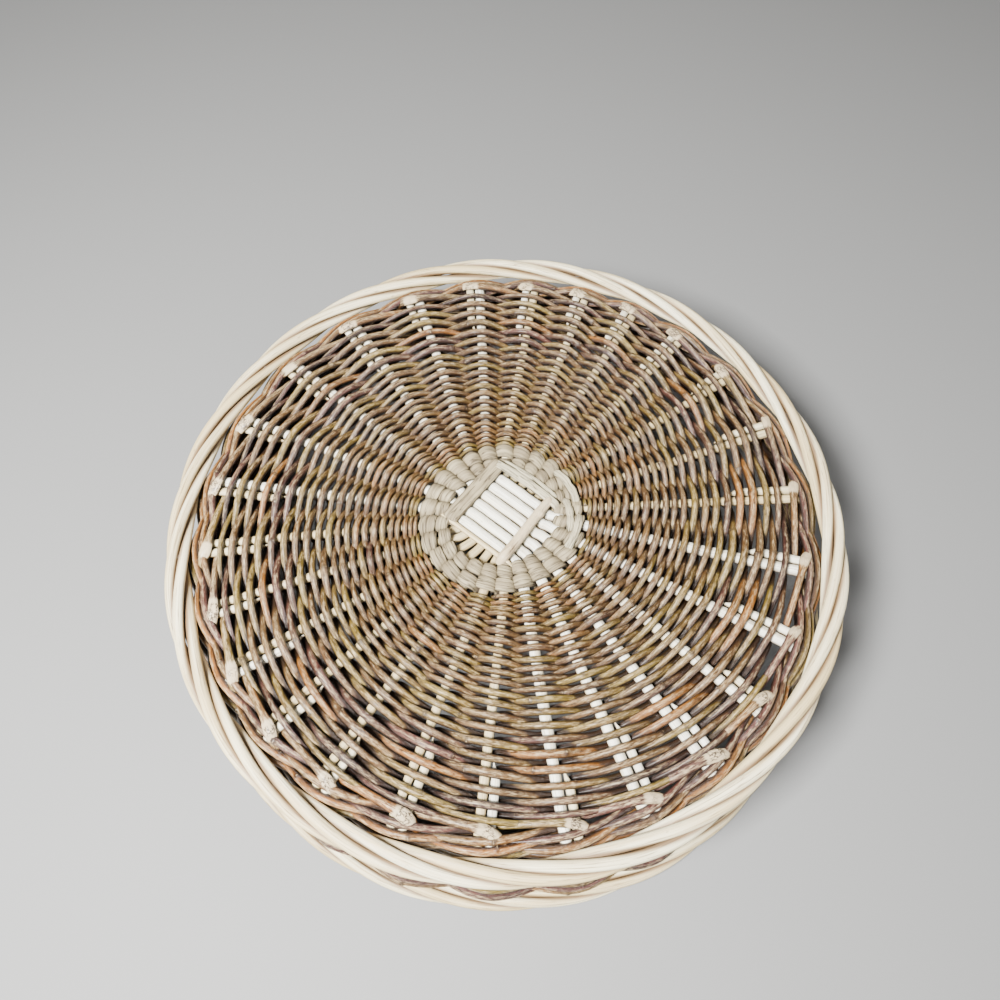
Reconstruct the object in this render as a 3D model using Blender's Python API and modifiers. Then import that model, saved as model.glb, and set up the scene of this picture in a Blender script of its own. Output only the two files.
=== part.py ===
# Round wicker onion basket, lying as photographed: upside down on its rim, with the woven base uppermost.
# Thirteen base sticks cross in the middle, are tied together and fan out into twenty-six spokes.
# A side stake is pushed in beside each spoke, bends over the edge, and runs down the wall to the rim.
# Two ropes of peeled rods finish it: the wale round the base's edge and the border of the rim.

import bpy
import bmesh
from math import atan2, cos, hypot, pi, radians, sin, sqrt
from mathutils import Vector

# Driving dimensions, in metres
BASE_HEIGHT = 0.092            # middle of the base's thickness above the surface that the rim stands on
CLEARANCE = 0.00035            # gap between pieces that touch in the real basket

OVER_STICK_COUNT = 6           # thick base sticks, on the outer face where they cross
UNDER_STICK_COUNT = 7          # thinner base sticks, on the inner face where they cross
OVER_STICK_DIAMETER = 0.0068
UNDER_STICK_DIAMETER = 0.0052
OVER_STICK_PITCH = 0.0076
UNDER_STICK_PITCH = 0.0062
CROSSING_REACH = 0.026         # from the centre to where the sticks start to fan out
CROSSING_TURN = radians(140)   # azimuth that the over sticks point to
SPOKE_TURN = radians(1.6)      # azimuth of the first spoke at the base's edge
SPOKE_TWIST = radians(3.9)     # how much further round the spokes leave the binding
SPOKE_WAVE_TWO = radians(2.2)  # unevenness of the hand-spaced spokes, twice round
SPOKE_WAVE_THREE = radians(2.0)
SPOKE_PHASE_TWO = radians(31)
SPOKE_PHASE_THREE = radians(119)

BINDING_INNER_RADIUS = 0.0345
BINDING_WIDTH = 0.016          # both rounds of rush together
BINDING_SKIN = 0.0015          # thickness of the flat rush over the sticks
TIE_THICKNESS = 0.0022         # the square tie over the crossing

THICK_WEAVE_WIDTH = 0.0350     # the rows of thick rod, outside the fine ones
ZONE_GAP = 0.0012              # between the bands of weave, where the sticks show
WEAVE_END_INSET = 0.0258       # from the middle of the wale in to the end of the thick rows
CORNER_INSET = 0.0218          # and to the row in the corner of base and wall, on the inner face
SPOKE_END_INSET = 0.0193       # and to the cut ends of the base sticks
FINE_WEAVER = 0.0030           # weavers over the sticks, near the middle
THICK_WEAVER = 0.0040          # weavers over the sticks, near the edge
KINKED_ROD_DIAMETER = 0.0044
KINKED_ROW_INSET = 0.0215      # from the middle of the wale in to the kinked row
KINKED_ROW_DIP = 0.0022        # how far the kinked rods sink between the spokes
EDGE_ROD_DIAMETER = 0.0044
CORNER_ROD_DIAMETER = 0.0052
EDGE_ROW_SHARES = (0.2, 0.37)  # places of the two edge rows along the stakes' bend
TANGENT_SHARE = 0.05           # the step along the bend that gives its slope
KINK_SHARES = (0.22, 0.6)      # where a kinked rod leaves its spoke, and its lowest point, to the next spoke
KINK_DRIFT_SHARE = 0.5         # how much of a stake's width the kinked rod slants inward on its way

STAKE_DIAMETER = 0.0054
STAKE_TIP_DIAMETER = 0.0016
STAKE_TIP_LENGTH = 0.010
STAKE_REACH = 0.0573           # from the middle of the wale in to the pointed tips
STAKE_TIP_STAGGER = 0.0075     # the tips end by turns this much nearer or further
BEND_START_INSET = 0.0233      # from the middle of the wale in to where the stakes start to bend
BEND_INSET = 0.0063            # how far inside the wale's middle the bend is aimed
BEND_DROP = 0.024              # how far below the base's middle the bend ends
WALL_TOP_INSET = 0.0083        # the bend ends this far inside the wale's middle

STRAND_COUNT = 4               # rods in each rope
STRAND_DIAMETER = 0.0054
LAY_RADIUS = 0.0047            # from the rope's middle to the middle of each rod
ROPE_TURN = radians(3.6)       # turns the ropes until their crests lie over the stakes
WALE_RADIUS = 0.2073
WALL_FLARE = 0.0117            # how much wider the rim is than the wale
RIM_FLAT = 0.0006              # depth of the worn flat that the rim stands on
WALL_FOOT_INSET = 0.0050       # stakes meet the rim this far inside its middle

WALL_WEAVER = 0.0040           # weavers over the stakes, inside and outside the wall
WALL_ROW_COUNT = 8
WALL_TOP_SHARE = 0.6           # the wall's weave starts this far along the stakes' bend
ROW_RELIEF = 0.0011            # depth of the groove between two rows
BETWEEN_SHARE = 0.62           # half thickness of the weave midway between two posts, as a share of a weaver
FINE_RIDGE_COUNT = 3           # ridges that stand for the rows of each band
THICK_RIDGE_COUNT = 2
BEND_POINT_COUNT = 3           # points along a stake's bend

CIRCLE_STEP_COUNT = 26         # facets round a band of weave, one for each spoke
POINT_COUNT_PER_LAY = 6        # points along one turn of a strand round its rope
CUT_OVERRUN = 0.004            # how far a cutter passes the face it cuts

SPOKE_COUNT = 2 * (OVER_STICK_COUNT + UNDER_STICK_COUNT)
SPOKE_STEP = 2 * pi / SPOKE_COUNT
ROPE_RADIUS = LAY_RADIUS + STRAND_DIAMETER / 2
BINDING_OUTER_RADIUS = BINDING_INNER_RADIUS + BINDING_WIDTH
OUTER_WEAVE_RADIUS = WALE_RADIUS - WEAVE_END_INSET
INNER_WEAVE_RADIUS = OUTER_WEAVE_RADIUS - THICK_WEAVE_WIDTH
RIM_RADIUS = WALE_RADIUS + WALL_FLARE
CORNER_RADIUS = WALE_RADIUS - CORNER_INSET
SPOKE_RADIUS = WALE_RADIUS - SPOKE_END_INSET
KINKED_ROW_RADIUS = WALE_RADIUS - KINKED_ROW_INSET
BEND_START_RADIUS = WALE_RADIUS - BEND_START_INSET
STAKE_TIP_RADIUS = WALE_RADIUS - STAKE_REACH
RIM_HEIGHT = ROPE_RADIUS - RIM_FLAT
OVER_RISE = OVER_STICK_DIAMETER / 2 - UNDER_STICK_DIAMETER / 2 + CLEARANCE
UNDER_DROP = OVER_STICK_DIAMETER / 2 + UNDER_STICK_DIAMETER / 2 + CLEARANCE - OVER_RISE
STAKE_RADIUS = STAKE_DIAMETER / 2


def clear_scene():
    for thing in list(bpy.data.objects):
        bpy.data.objects.remove(thing, do_unlink=True)


def make_collection(name):
    collection = bpy.data.collections.new(name)
    bpy.context.scene.collection.children.link(collection)
    return collection


def make_material(name, colour, roughness):
    material = bpy.data.materials.new(name)
    material.use_nodes = True
    shader = material.node_tree.nodes["Principled BSDF"]
    shader.inputs["Base Color"].default_value = (*colour, 1.0)
    shader.inputs["Roughness"].default_value = roughness
    shader.inputs["Metallic"].default_value = 0.0
    return material


def polar(radius, azimuth, height=0.0):
    return Vector((radius * cos(azimuth), radius * sin(azimuth), height))


# Rods and ropes: poly curves with a round bevel

def make_rod(name, paths, diameter, material, collection, sides=1, closed=False, tapers=None, twist="MINIMUM"):
    """One curve of one or more round rods; tapers holds each point's share of the diameter."""
    curve = bpy.data.curves.new(name, "CURVE")
    curve.dimensions = "3D"
    curve.twist_mode = twist
    curve.bevel_depth = diameter / 2
    curve.bevel_resolution = sides
    curve.use_fill_caps = not closed
    for path in paths:
        spline = curve.splines.new("POLY")
        spline.points.add(len(path) - 1)
        spline.use_cyclic_u = closed
        spline.use_smooth = True
        for index, place in enumerate(path):
            spline.points[index].co = (*place, 1.0)
            spline.points[index].radius = tapers[index] if tapers else 1.0
    rod = bpy.data.objects.new(name, curve)
    if material:
        curve.materials.append(material)
    collection.objects.link(rod)
    return rod


def rod_to_mesh(rod):
    """Swaps a rod's curve for its mesh, with the caps welded on, so that it can cut or be cut."""
    bpy.context.view_layer.update()
    evaluated = rod.evaluated_get(bpy.context.evaluated_depsgraph_get())
    mesh = bpy.data.meshes.new_from_object(evaluated)
    welded = bmesh.new()
    welded.from_mesh(mesh)
    bmesh.ops.remove_doubles(welded, verts=welded.verts, dist=CLEARANCE / 10)
    bmesh.ops.recalc_face_normals(welded, faces=welded.faces)
    welded.to_mesh(mesh)
    welded.free()
    name = rod.name
    collection = rod.users_collection[0]
    solid = bpy.data.objects.new(name + "_mesh", mesh)
    solid.matrix_world = rod.matrix_world
    collection.objects.link(solid)
    bpy.data.objects.remove(rod, do_unlink=True)
    solid.name = name
    return solid


def hide_cutter(cutter):
    cutter.hide_render = True
    cutter.display_type = "WIRE"


def cut(solid, cutter):
    boolean = solid.modifiers.new("cut by " + cutter.name, "BOOLEAN")
    boolean.operation = "DIFFERENCE"
    boolean.solver = "EXACT"
    boolean.object = cutter


def turn_profile(name, profile, material, collection):
    """A ring turned from a closed outline of (radius, height) points, given down its outer side first."""
    mesh = bpy.data.meshes.new(name)
    outline = bmesh.new()
    corners = [outline.verts.new((radius, 0.0, height)) for radius, height in profile]
    for index, corner in enumerate(corners):
        outline.edges.new((corner, corners[(index + 1) % len(corners)]))
    outline.to_mesh(mesh)
    outline.free()
    ring = bpy.data.objects.new(name, mesh)
    mesh.materials.append(material)
    collection.objects.link(ring)
    screw = ring.modifiers.new("turn", "SCREW")
    screw.axis = "Z"
    screw.angle = 2 * pi
    screw.steps = CIRCLE_STEP_COUNT
    screw.render_steps = CIRCLE_STEP_COUNT
    screw.use_merge_vertices = True
    screw.merge_threshold = CLEARANCE / 10
    screw.use_smooth_shade = False
    ring.rotation_euler = (0.0, 0.0, SPOKE_TURN)
    return ring


def weave_band(name, at_post, between, post_azimuth, bark, parts):
    """A woven ring: its outline is full where the rods pass a post, and slack midway to the next post."""
    mesh = bpy.data.meshes.new(name)
    band = bmesh.new()
    stations = []
    for index in range(SPOKE_COUNT):
        full, slack = [], []
        for (radius, height), (slack_radius, slack_height) in zip(at_post, between):
            here = post_azimuth(index, radius)
            step = (post_azimuth(index + 1, radius) - here) % (2 * pi)
            full.append(band.verts.new(polar(radius, here, height)))
            slack.append(band.verts.new(polar(slack_radius, here + step / 2, slack_height)))
        stations += [full, slack]
    for number, here in enumerate(stations):
        ahead = stations[(number + 1) % len(stations)]
        for corner in range(len(here)):
            after = (corner + 1) % len(here)
            band.faces.new((here[corner], here[after], ahead[after], ahead[corner]))
    bmesh.ops.triangulate(band, faces=band.faces)
    bmesh.ops.recalc_face_normals(band, faces=band.faces)
    band.to_mesh(mesh)
    band.free()
    ring = bpy.data.objects.new(name, mesh)
    mesh.materials.append(bark)
    parts.objects.link(ring)
    return ring


# Places that several pieces share

def spoke_azimuth(index):
    """Azimuth of a spoke at the edge: even steps, drawn a little out of true by hand."""
    even = index * SPOKE_STEP
    return (even + SPOKE_TURN + SPOKE_WAVE_TWO * cos(2 * even - SPOKE_PHASE_TWO)
            + SPOKE_WAVE_THREE * cos(3 * even - SPOKE_PHASE_THREE))


def stick_half(index, lengthwise, offset, rise):
    """The path of half a stick, from the crossing out to the edge, as spoke number index."""
    along = polar(CROSSING_REACH, lengthwise)
    aside = polar(offset, lengthwise + pi / 2)
    start = along + aside + Vector((0.0, 0.0, BASE_HEIGHT + rise))
    leave = polar(BINDING_OUTER_RADIUS, index * SPOKE_STEP + SPOKE_TURN + SPOKE_TWIST, BASE_HEIGHT)
    end = polar(SPOKE_RADIUS, spoke_azimuth(index), BASE_HEIGHT)
    return [start, leave, end]


def stick_halves():
    """Both halves of every stick: name, diameter and the two paths out from the crossing."""
    sticks = []
    for row in range(UNDER_STICK_COUNT):
        offset = (row - (UNDER_STICK_COUNT - 1) / 2) * UNDER_STICK_PITCH
        lengthwise = CROSSING_TURN - pi / 2
        first = stick_half(row, lengthwise, offset, -UNDER_DROP)
        second = stick_half(2 * UNDER_STICK_COUNT + OVER_STICK_COUNT - 1 - row, lengthwise + pi, -offset, -UNDER_DROP)
        sticks.append((f"under_base_stick_{row + 1}", UNDER_STICK_DIAMETER, first, second))
    for row in range(OVER_STICK_COUNT):
        offset = (row - (OVER_STICK_COUNT - 1) / 2) * OVER_STICK_PITCH
        first = stick_half(UNDER_STICK_COUNT + row, CROSSING_TURN, offset, OVER_RISE)
        second = stick_half(SPOKE_COUNT - 1 - row, CROSSING_TURN + pi, -offset, OVER_RISE)
        sticks.append((f"over_base_stick_{row + 1}", OVER_STICK_DIAMETER, first, second))
    return sticks


def spoke_is_over(index):
    ends = list(range(UNDER_STICK_COUNT, UNDER_STICK_COUNT + OVER_STICK_COUNT))
    ends += list(range(SPOKE_COUNT - OVER_STICK_COUNT, SPOKE_COUNT))
    return index in ends


def stake_gap(index):
    """From the middle of a spoke to the middle of the stake beside it."""
    spoke_diameter = OVER_STICK_DIAMETER if spoke_is_over(index) else UNDER_STICK_DIAMETER
    return (spoke_diameter + STAKE_DIAMETER) / 2 + 2 * CLEARANCE + CLEARANCE / 2


def base_post_azimuth(index, radius):
    """Azimuth of a spoke where it crosses that radius, or of the middle of a spoke and its stake."""
    index %= SPOKE_COUNT
    leave = polar(BINDING_OUTER_RADIUS, index * SPOKE_STEP + SPOKE_TURN + SPOKE_TWIST)
    end = polar(SPOKE_RADIUS, spoke_azimuth(index))
    place = leave.lerp(end, (radius - BINDING_OUTER_RADIUS) / (SPOKE_RADIUS - BINDING_OUTER_RADIUS))
    beside = stake_gap(index) / 2 if radius > STAKE_TIP_RADIUS else 0.0
    return atan2(place.y, place.x) + beside / radius


def wall_post_azimuth(index, radius):
    """Azimuth of a stake in the wall."""
    index %= SPOKE_COUNT
    return spoke_azimuth(index) + stake_gap(index) / radius


def bend_point(share):
    """A point of the stake's bend over the edge, as (radius, height)."""
    corner = (WALE_RADIUS - BEND_INSET, BASE_HEIGHT)
    start = (BEND_START_RADIUS, BASE_HEIGHT)
    end = (WALE_RADIUS - WALL_TOP_INSET, BASE_HEIGHT - BEND_DROP)
    near, middle, far = (1 - share) ** 2, 2 * share * (1 - share), share ** 2
    return tuple(near * a + middle * b + far * c for a, b, c in zip(start, corner, end))


def wall_foot():
    """Where a stake meets the rim, as (radius, height)."""
    from_crest = WALL_FOOT_INSET - STAKE_RADIUS / 2
    return RIM_RADIUS - WALL_FOOT_INSET, RIM_HEIGHT + sqrt(ROPE_RADIUS ** 2 - from_crest ** 2) + CLEARANCE


def wall_point(share):
    """A point of the stake's straight run down the wall, as (radius, height)."""
    top = bend_point(1.0)
    foot = wall_foot()
    return tuple(a + share * (b - a) for a, b in zip(top, foot))


def offset_point(here, ahead, distance):
    """A point moved square to the way from here to ahead, to the outside of the basket."""
    run, fall = ahead[0] - here[0], ahead[1] - here[1]
    length = hypot(run, fall)
    return here[0] - fall / length * distance, here[1] + run / length * distance


def rope_paths(ring_radius, ring_height):
    """The closed paths of a rope's strands; each goes round twice and takes two of the four places."""
    lays = SPOKE_COUNT / STRAND_COUNT
    loops = STRAND_COUNT // 2
    stations = int(2 * lays) * POINT_COUNT_PER_LAY
    paths = []
    for loop in range(loops):
        path = []
        for station in range(stations):
            azimuth = 4 * pi * station / stations
            lay = lays * (azimuth - ROPE_TURN) + loop * 2 * pi / STRAND_COUNT
            path.append(polar(ring_radius - LAY_RADIUS * cos(lay), azimuth, ring_height + LAY_RADIUS * sin(lay)))
        paths.append(path)
    return paths


# The pieces

def make_base_sticks(peeled, parts):
    for name, diameter, first, second in stick_halves():
        path = list(reversed(first)) + second
        make_rod(name, [path], diameter, peeled, parts, twist="Z_UP")


def make_spoke_channels(cutters):
    """Cutters for the holes that the spokes pass through, a clearance wider than the sticks."""
    over, under = [], []
    for name, diameter, first, second in stick_halves():
        for start, leave, end in (first, second):
            beyond = end + (end - leave).normalized() * CUT_OVERRUN
            across = first[0] - second[0]
            if start == second[0]:
                across = -across
            inside = start - across / 4
            (over if name.startswith("over") else under).append([inside, start, leave, beyond])
    channels = []
    for name, paths, diameter in (("over_channels", over, OVER_STICK_DIAMETER),
                                  ("under_channels", under, UNDER_STICK_DIAMETER)):
        channel = rod_to_mesh(make_rod(name, paths, diameter + 2 * CLEARANCE, None, cutters, twist="Z_UP"))
        hide_cutter(channel)
        channels.append(channel)
    return channels


def stake_path(index):
    """From the tip beside its spoke, out over the edge and down the wall, with each point's share of width."""
    azimuth = spoke_azimuth(index)
    outward = polar(1.0, azimuth)
    gap = stake_gap(index)
    leave = polar(BINDING_OUTER_RADIUS, index * SPOKE_STEP + SPOKE_TURN + SPOKE_TWIST)
    spoke = (polar(SPOKE_RADIUS, azimuth) - leave).normalized()
    square = Vector((-spoke.y, spoke.x, 0.0))
    tip_radius = STAKE_TIP_RADIUS + STAKE_TIP_STAGGER * (index % 3 - 1)
    edge = polar(SPOKE_RADIUS, azimuth)
    beside = []
    for distance in (tip_radius, tip_radius + STAKE_TIP_LENGTH, BEND_START_RADIUS):
        beside.append(edge - spoke * (SPOKE_RADIUS - distance) + square * gap + Vector((0.0, 0.0, BASE_HEIGHT)))
    shift = beside[-1] - outward * BEND_START_RADIUS
    shift.z = 0.0
    down = []
    for place in [bend_point(step / BEND_POINT_COUNT) for step in range(1, BEND_POINT_COUNT + 1)] + [wall_foot()]:
        down.append(outward * place[0] + shift + Vector((0.0, 0.0, place[1])))
    path = beside + down
    tapers = [STAKE_TIP_DIAMETER / STAKE_DIAMETER] + [1.0] * (len(path) - 1)
    return path, tapers


def make_side_stakes(peeled, parts):
    for index in range(SPOKE_COUNT):
        path, tapers = stake_path(index)
        make_rod(f"side_stake_{index + 1:02d}", [path], STAKE_DIAMETER, peeled, parts, tapers=tapers)


def make_stake_channels(cutters):
    """Cutters along the stakes, a clearance wider; the tip's cutter is blunt and starts ahead of the tip."""
    paths = []
    for index in range(SPOKE_COUNT):
        path, _ = stake_path(index)
        ahead = (path[1] - path[0]).normalized() * CLEARANCE
        beyond = (path[-1] - path[-2]).normalized() * CUT_OVERRUN
        paths.append([path[0] - ahead] + path[1:-1] + [path[-1] + beyond])
    channel = rod_to_mesh(make_rod("stake_channels", paths, STAKE_DIAMETER + 2 * CLEARANCE, None, cutters))
    hide_cutter(channel)
    return channel


def make_binding(rush, parts, channels):
    """Two rounds of flat rush that hold the fanned sticks apart, and the square tie over the crossing."""
    top = BASE_HEIGHT + OVER_RISE + OVER_STICK_DIAMETER / 2 + CLEARANCE + BINDING_SKIN
    low = BASE_HEIGHT - UNDER_DROP - UNDER_STICK_DIAMETER / 2 - CLEARANCE - BINDING_SKIN
    width = BINDING_OUTER_RADIUS - BINDING_INNER_RADIUS
    edge_top = BASE_HEIGHT + OVER_STICK_DIAMETER / 2 + CLEARANCE + BINDING_SKIN / 2
    groove = top - BINDING_SKIN / 2
    middle = BINDING_INNER_RADIUS + width / 2
    profile = [(middle + width / 4, top), (BINDING_OUTER_RADIUS, edge_top),
               (BINDING_OUTER_RADIUS, low + BINDING_SKIN), (middle + width / 4, low),
               (middle - width / 4, low), (BINDING_INNER_RADIUS, low + BINDING_SKIN),
               (BINDING_INNER_RADIUS, edge_top), (middle - width / 4, top), (middle, groove)]
    ring = turn_profile("slath_binding", profile, rush, parts)
    for channel in channels:
        cut(ring, channel)

    # The tie lies over the over sticks on two sides and drops beside them on the other two
    half_long = CROSSING_REACH - 2 * TIE_THICKNESS
    half_wide = OVER_STICK_COUNT * OVER_STICK_PITCH / 2 + TIE_THICKNESS / 2 + CLEARANCE
    upper = BASE_HEIGHT + OVER_RISE + OVER_STICK_DIAMETER / 2 + TIE_THICKNESS / 2 + CLEARANCE
    lower = BASE_HEIGHT - UNDER_DROP + UNDER_STICK_DIAMETER / 2 + TIE_THICKNESS / 2 + CLEARANCE
    along, aside = polar(1.0, CROSSING_TURN), polar(1.0, CROSSING_TURN + pi / 2)
    corner_shares = [(1, -1), (1, 1), (-1, 1), (-1, -1)]
    path = []
    for number, (length_share, width_share) in enumerate(corner_shares):
        flat = along * half_long * length_share
        over = flat + aside * (half_wide - TIE_THICKNESS) * width_share + Vector((0.0, 0.0, upper))
        down = flat + aside * half_wide * width_share + Vector((0.0, 0.0, upper))
        beside = (along * (half_long - TIE_THICKNESS) * length_share + aside * half_wide * width_share
                  + Vector((0.0, 0.0, lower)))
        path += [beside, down, over] if number % 2 == 0 else [over, down, beside]
    make_rod("slath_tie", [path], TIE_THICKNESS, rush, parts, closed=True)


def make_base_weave(bark, parts, over_under, stakes):
    """The woven bands of the base, with the sticks run through them."""
    stick_radius = OVER_STICK_DIAMETER / 2 + CLEARANCE
    fine, thick = stick_radius + FINE_WEAVER, stick_radius + THICK_WEAVER
    inner = BINDING_OUTER_RADIUS + ZONE_GAP
    zones = (("base_weave_fine", inner, INNER_WEAVE_RADIUS, fine, thick, FINE_RIDGE_COUNT),
             ("base_weave_thick", INNER_WEAVE_RADIUS + ZONE_GAP, OUTER_WEAVE_RADIUS, thick, thick,
              THICK_RIDGE_COUNT))
    for name, start, end, start_half, end_half, ridges in zones:
        outlines = []
        for between in (False, True):
            upper, under = [], []
            for ridge in range(2 * ridges + 1):
                share = ridge / (2 * ridges)
                half = start_half + share * (end_half - start_half)
                if between:
                    half = (half - stick_radius) * BETWEEN_SHARE
                grooved = half - (ROW_RELIEF if ridge % 2 == 0 else 0)
                radius = start + share * (end - start)
                upper.append((radius, BASE_HEIGHT + grooved))
                if ridge % (2 * ridges) == 0:
                    under.insert(0, (radius, BASE_HEIGHT - half + ROW_RELIEF / 2))
            outlines.append(under + upper)
        band = weave_band(name, outlines[0], outlines[1], base_post_azimuth, bark, parts)
        for channel in over_under:
            cut(band, channel)
        cut(band, stakes)


def make_kinked_row(bark, parts):
    """The row of kinked rods: one wavy ring that rises over each spoke and dips between spokes."""
    rest = BASE_HEIGHT + (OVER_STICK_DIAMETER + KINKED_ROD_DIAMETER) / 2
    path = []
    for index in range(SPOKE_COUNT):
        following = spoke_azimuth(index + 1)
        azimuth = spoke_azimuth(index)
        leaves, lowest = KINK_SHARES
        for share, dip in ((0.0, 0.0), (leaves, 0.0), (lowest, KINKED_ROW_DIP)):
            place = azimuth + (following - azimuth) * share
            drift = STAKE_DIAMETER * KINK_DRIFT_SHARE * (lowest - share)
            path.append(polar(KINKED_ROW_RADIUS + drift, place, rest - dip))
    make_rod("kinked_edge_row", [path], KINKED_ROD_DIAMETER, bark, parts, closed=True)


def make_edge_rows(bark, parts):
    """Two rows of brown rod between the kinked row and the wale, and one in the corner inside."""
    lift = STAKE_RADIUS + EDGE_ROD_DIAMETER / 2 + CLEARANCE
    for number, share in enumerate(EDGE_ROW_SHARES):
        radius, height = offset_point(bend_point(share), bend_point(share + TANGENT_SHARE), lift)
        path = [polar(radius, SPOKE_TURN + step * SPOKE_STEP, height) for step in range(SPOKE_COUNT)]
        make_rod(f"edge_row_{number + 1}", [path], EDGE_ROD_DIAMETER, bark, parts, closed=True)
    under = BASE_HEIGHT - (OVER_STICK_DIAMETER + CORNER_ROD_DIAMETER) / 2 - CLEARANCE
    path = [polar(CORNER_RADIUS, SPOKE_TURN + step * SPOKE_STEP, under) for step in range(SPOKE_COUNT)]
    make_rod("inner_corner_row", [path], CORNER_ROD_DIAMETER, bark, parts, closed=True)


def wall_outline(half):
    """The outline of the wall's weave at one place round it, that far to each side of the stakes' middle."""
    spine = [bend_point(WALL_TOP_SHARE), bend_point((1 + WALL_TOP_SHARE) / 2)]
    spine += [wall_point(share / (WALL_ROW_COUNT - 2)) for share in range(WALL_ROW_COUNT - 1)]
    foot_gap = 2 * CLEARANCE
    outer, inner = [], []
    for index, here in enumerate(spine):
        ahead = spine[index + 1] if index + 1 < len(spine) else tuple(2 * a - b for a, b in zip(here, spine[-2]))
        if index == len(spine) - 1:
            here = (here[0], here[1] + foot_gap)
        outer.append(offset_point(here, ahead, half - ROW_RELIEF))
        if index + 1 < len(spine):
            middle = tuple((a + b) / 2 for a, b in zip(here, ahead))
            outer.append(offset_point(middle, ahead, half))
        inner.append(offset_point(here, ahead, -half))
    inner = [inner[0], inner[2], inner[-1]]
    return outer + list(reversed(inner))


def make_wall_weave(bark, parts, stakes):
    """The woven wall, one ring with a ridge for each row and a hole for each stake."""
    full = wall_outline(STAKE_RADIUS + CLEARANCE + WALL_WEAVER)
    slack = wall_outline(WALL_WEAVER * BETWEEN_SHARE)
    band = weave_band("wall_weave", full, slack, wall_post_azimuth, bark, parts)
    cut(band, stakes)


def make_ropes(peeled, parts, cutters):
    """The wale round the base's edge and the rolled border of the rim, whose underside is worn flat."""
    for number, path in enumerate(rope_paths(WALE_RADIUS, BASE_HEIGHT)):
        make_rod(f"wale_strand_{number + 1}", [path], STRAND_DIAMETER, peeled, parts, closed=True)
    bpy.ops.mesh.primitive_cylinder_add(vertices=CIRCLE_STEP_COUNT, radius=RIM_RADIUS + ROPE_RADIUS + CUT_OVERRUN,
                                        depth=CUT_OVERRUN, location=(0.0, 0.0, -CUT_OVERRUN / 2))
    floor = bpy.context.active_object
    floor.name = "worn_flat"
    for collection in floor.users_collection:
        collection.objects.unlink(floor)
    cutters.objects.link(floor)
    hide_cutter(floor)
    for number, path in enumerate(rope_paths(RIM_RADIUS, RIM_HEIGHT)):
        strand = rod_to_mesh(make_rod(f"rim_border_strand_{number + 1}", [path], STRAND_DIAMETER, peeled, parts,
                                      closed=True))
        cut(strand, floor)


def build():
    clear_scene()
    parts = make_collection("onion_basket")
    cutters = make_collection("cutters")
    peeled = make_material("peeled_willow", (0.78, 0.70, 0.55), 0.55)
    bark = make_material("brown_willow", (0.30, 0.19, 0.12), 0.6)
    rush = make_material("rush", (0.62, 0.57, 0.48), 0.8)
    over_under = make_spoke_channels(cutters)
    stakes = make_stake_channels(cutters)
    make_base_sticks(peeled, parts)
    make_side_stakes(peeled, parts)
    make_binding(rush, parts, over_under)
    make_base_weave(bark, parts, over_under, stakes)
    make_kinked_row(bark, parts)
    make_edge_rows(bark, parts)
    make_wall_weave(bark, parts, stakes)
    make_ropes(peeled, parts, cutters)


build()
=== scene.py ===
import random
from math import atan2, cos, hypot, pi, radians, sin

import bpy
import numpy as np
from mathutils import Matrix, Vector
from numpy.linalg import norm


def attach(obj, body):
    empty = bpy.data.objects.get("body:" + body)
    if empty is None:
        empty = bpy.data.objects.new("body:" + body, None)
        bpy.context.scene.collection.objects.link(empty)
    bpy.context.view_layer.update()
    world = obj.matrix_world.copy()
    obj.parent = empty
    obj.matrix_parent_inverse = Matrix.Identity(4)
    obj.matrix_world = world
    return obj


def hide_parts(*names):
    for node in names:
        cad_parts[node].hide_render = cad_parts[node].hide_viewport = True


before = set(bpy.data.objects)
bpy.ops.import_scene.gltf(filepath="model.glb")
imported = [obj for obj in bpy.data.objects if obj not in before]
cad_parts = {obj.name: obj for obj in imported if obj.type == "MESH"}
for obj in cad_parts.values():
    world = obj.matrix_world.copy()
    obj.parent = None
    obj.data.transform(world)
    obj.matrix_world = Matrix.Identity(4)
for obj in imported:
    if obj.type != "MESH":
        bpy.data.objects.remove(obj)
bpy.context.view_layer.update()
print("frame loaded with", len(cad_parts), "pieces")


def addObject(name, data):
    thing = bpy.data.objects.new(name, data)
    bpy.context.scene.collection.objects.link(thing)
    return thing


view = {
    "lens": 28.44, "sensor": 36,  # in millimetres
    "elevation": 63.5, "roll": -1.3, "place": (-0.0029, -0.2164, 0.5503),
}


def addCamera():
    rise, roll = radians(view["elevation"]), radians(view["roll"])
    level = Vector((1, 0, 0))
    ahead = Vector((0, cos(rise), -sin(rise)))
    over = level.cross(ahead)
    right = level * cos(roll) + over * sin(roll)
    up = over * cos(roll) - level * sin(roll)
    data = bpy.data.cameras.new("photoCamera")
    data.lens = view["lens"]
    data.sensor_width = view["sensor"]
    data.clip_start = 0.01
    camera = addObject("photoCamera", data)
    turned = Matrix((right, up, -ahead)).transposed().to_4x4()
    camera.matrix_world = Matrix.Translation(view["place"]) @ turned
    bpy.context.scene.camera = camera


studio = {
    "lamps": [  # name, place, size, power, colour
        ("windowLight", (-0.42, -0.4, 0.98), 0.28, 84.0, (1.0, 0.985, 0.96)),
        ("fillLight", (1.1, -0.5, 1.0), 1.0, 9.0, (0.98, 0.985, 1.0)),
        ("backLight", (-0.2, 1.4, 0.9), 0.8, 2.0, (0.95, 0.97, 1.0)),
    ],
    "aim": (0, 0, 0.05),
    "sky": (0.97, 0.88, 0.77), "skyPower": 0.19,
}


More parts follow.
